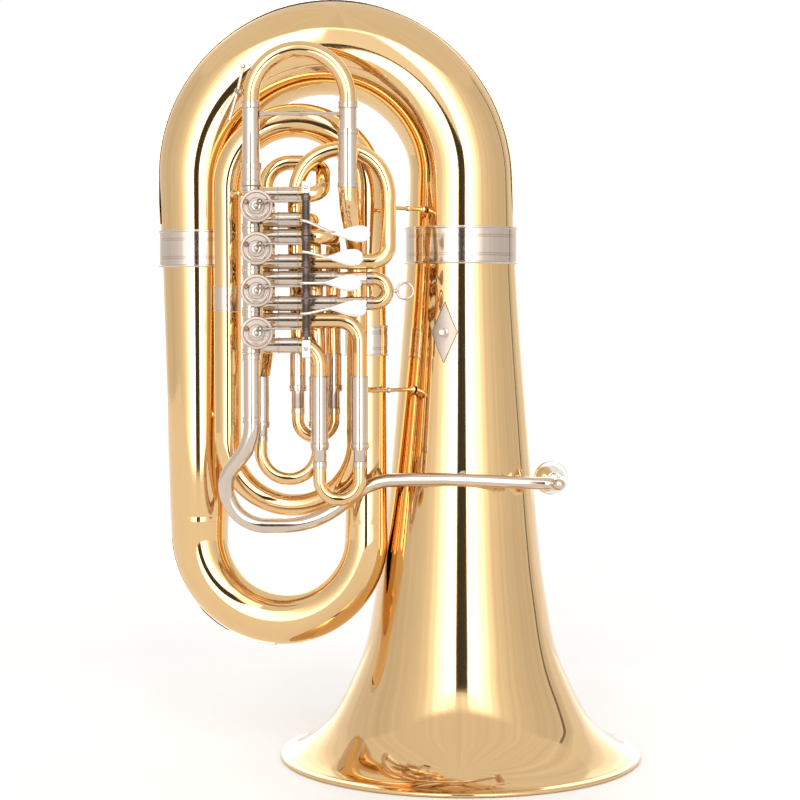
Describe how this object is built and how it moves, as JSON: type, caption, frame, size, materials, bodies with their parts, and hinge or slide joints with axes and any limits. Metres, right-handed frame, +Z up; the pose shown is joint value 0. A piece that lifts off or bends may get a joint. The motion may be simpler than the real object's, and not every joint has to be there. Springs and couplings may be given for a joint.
{
  "type": "tuba",
  "caption": "Rotary-valve tuba: flared bell, nested looped tubes, valve column with finger levers and link rods, pull slides, leadpipe and mouthpiece.",
  "frame": {"origin": "under the middle of the instrument's box, on the surface that the bell rim stands on", "axes": "+Z up, from the bell rim to the top bow; the valves and finger plates face -Y; +X is from the loops towards the bell"},
  "size_m": [0.6036, 0.45, 0.9444],
  "materials": {
    "lacquered_brass": "polished yellow brass under clear lacquer",
    "plain_brass": "machined brass",
    "nickel_silver": "polished nickel silver",
    "silver_plate": "polished silver plate"
  },
  "bodies": {
    "horn": {"bell": "lacquered_brass", "bell_ferrule": "nickel_silver", "bell_guard_plate": "nickel_silver", "bell_stay_lower": "lacquered_brass", "bell_stay_upper": "lacquered_brass", "bottom_bow_guard": "nickel_silver", "branch_stay": "lacquered_brass", "first_bottom_bow": "lacquered_brass", "first_slide_tube_inner": "lacquered_brass", "first_slide_tube_outer": "lacquered_brass", "fourth_branch": "lacquered_brass", "fourth_slide_tube_inner": "lacquered_brass", "fourth_slide_tube_outer": "lacquered_brass", "leadpipe": "nickel_silver", "left_branch": "lacquered_brass", "lever_rack": "nickel_silver", "main_sleeve_left": "nickel_silver", "main_sleeve_right": "nickel_silver", "mouthpiece": "silver_plate", "second_bottom_bow": "lacquered_brass", "second_branch": "lacquered_brass", "second_branch_ferrule": "nickel_silver", "second_slide_tube_inner": "lacquered_brass", "second_slide_tube_outer": "lacquered_brass", "second_top_bow": "lacquered_brass", "third_branch": "lacquered_brass", "third_slide_tube_inner": "lacquered_brass", "third_slide_tube_outer": "lacquered_brass", "top_bow": "lacquered_brass", "top_bow_ferrule": "nickel_silver", "top_bow_guard": "nickel_silver", "valve_cap_1": "nickel_silver", "valve_cap_2": "nickel_silver", "valve_cap_3": "nickel_silver", "valve_cap_4": "nickel_silver", "valve_casing_1": "lacquered_brass", "valve_casing_2": "lacquered_brass", "valve_casing_3": "lacquered_brass", "valve_casing_4": "lacquered_brass", "valve_stay": "lacquered_brass"},
    "main_slide": {"main_tuning_slide": "lacquered_brass", "main_slide_stay": "nickel_silver"},
    "water_key": {"water_key": "nickel_silver"},
    "first_slide": {"first_slide": "lacquered_brass"},
    "second_slide": {"second_slide": "lacquered_brass", "second_slide_ring": "nickel_silver"},
    "third_slide": {"third_slide": "lacquered_brass"},
    "fourth_slide": {"fourth_slide": "lacquered_brass"},
    "rotor_1": {"rotor_1": "plain_brass"},
    "lever_1": {"finger_lever_1": "nickel_silver"},
    "link_1": {"link_rod_1": "nickel_silver"},
    "rotor_2": {"rotor_2": "plain_brass"},
    "lever_2": {"finger_lever_2": "nickel_silver"},
    "link_2": {"link_rod_2": "nickel_silver"},
    "rotor_3": {"rotor_3": "plain_brass"},
    "lever_3": {"finger_lever_3": "nickel_silver"},
    "link_3": {"link_rod_3": "nickel_silver"},
    "rotor_4": {"rotor_4": "plain_brass"},
    "lever_4": {"finger_lever_4": "nickel_silver"},
    "link_4": {"link_rod_4": "nickel_silver"}
  },
  "joints": [
    {"name": "main_slide_pull", "type": "slide", "parent": "horn", "child": "main_slide", "axis": [0, 0, 1], "range_m": [0, 0.02]},
    {"name": "water_key_press", "type": "hinge", "parent": "main_slide", "child": "water_key", "pos_m": [-0.19122, -0.116, 0.816], "axis": [0, -1, 0], "range_deg": [0, 10], "stiffness_Nm_per_rad": 0.05, "springref_deg": -11.46},
    {"name": "first_slide_pull", "type": "slide", "parent": "horn", "child": "first_slide", "axis": [0, 0, -1], "range_m": [0, 0.04]},
    {"name": "second_slide_pull", "type": "slide", "parent": "horn", "child": "second_slide", "axis": [1, 0, 0], "range_m": [0, 0.03]},
    {"name": "third_slide_pull", "type": "slide", "parent": "horn", "child": "third_slide", "axis": [0, 0, -1], "range_m": [0, 0.03]},
    {"name": "fourth_slide_pull", "type": "slide", "parent": "horn", "child": "fourth_slide", "axis": [0, 0, -1], "range_m": [0, 0.025]},
    {"name": "lever_1_press", "type": "hinge", "parent": "horn", "child": "lever_1", "pos_m": [-0.10722, -0.182, 0.5315], "axis": [0, 0, 1], "range_deg": [0, 22], "stiffness_Nm_per_rad": 0.4, "springref_deg": -8.59},
    {"name": "rotor_1_turn", "type": "hinge", "parent": "horn", "child": "rotor_1", "pos_m": [-0.16722, -0.116, 0.5315], "axis": [0, -1, 0], "range_deg": [0, 90]},
    {"name": "link_1_travel", "type": "slide", "parent": "horn", "child": "link_1", "axis": [-1, 0, 0], "range_m": [0, 0.0099]},
    {"name": "lever_2_press", "type": "hinge", "parent": "horn", "child": "lever_2", "pos_m": [-0.10722, -0.182, 0.581], "axis": [0, 0, 1], "range_deg": [0, 22], "stiffness_Nm_per_rad": 0.4, "springref_deg": -8.59},
    {"name": "rotor_2_turn", "type": "hinge", "parent": "horn", "child": "rotor_2", "pos_m": [-0.16722, -0.116, 0.581], "axis": [0, -1, 0], "range_deg": [0, 90]},
    {"name": "link_2_travel", "type": "slide", "parent": "horn", "child": "link_2", "axis": [-1, 0, 0], "range_m": [0, 0.0099]},
    {"name": "lever_3_press", "type": "hinge", "parent": "horn", "child": "lever_3", "pos_m": [-0.10722, -0.182, 0.6305], "axis": [0, 0, 1], "range_deg": [0, 22], "stiffness_Nm_per_rad": 0.4, "springref_deg": -8.59},
    {"name": "rotor_3_turn", "type": "hinge", "parent": "horn", "child": "rotor_3", "pos_m": [-0.16722, -0.116, 0.6305], "axis": [0, -1, 0], "range_deg": [0, 90]},
    {"name": "link_3_travel", "type": "slide", "parent": "horn", "child": "link_3", "axis": [-1, 0, 0], "range_m": [0, 0.0099]},
    {"name": "lever_4_press", "type": "hinge", "parent": "horn", "child": "lever_4", "pos_m": [-0.10722, -0.182, 0.68], "axis": [0, 0, 1], "range_deg": [0, 22], "stiffness_Nm_per_rad": 0.4, "springref_deg": -8.59},
    {"name": "rotor_4_turn", "type": "hinge", "parent": "horn", "child": "rotor_4", "pos_m": [-0.16722, -0.116, 0.68], "axis": [0, -1, 0], "range_deg": [0, 90]},
    {"name": "link_4_travel", "type": "slide", "parent": "horn", "child": "link_4", "axis": [-1, 0, 0], "range_m": [0, 0.0099]}
  ],
  "couplings": [
    {"joint": "rotor_1_turn", "follows": "lever_1_press", "ratio": 4.09},
    {"joint": "link_1_travel", "follows": "lever_1_press", "m_per_rad": 0.02578},
    {"joint": "rotor_2_turn", "follows": "lever_2_press", "ratio": 4.09},
    {"joint": "link_2_travel", "follows": "lever_2_press", "m_per_rad": 0.02578},
    {"joint": "rotor_3_turn", "follows": "lever_3_press", "ratio": 4.09},
    {"joint": "link_3_travel", "follows": "lever_3_press", "m_per_rad": 0.02578},
    {"joint": "rotor_4_turn", "follows": "lever_4_press", "ratio": 4.09},
    {"joint": "link_4_travel", "follows": "lever_4_press", "m_per_rad": 0.02578}
  ]
}
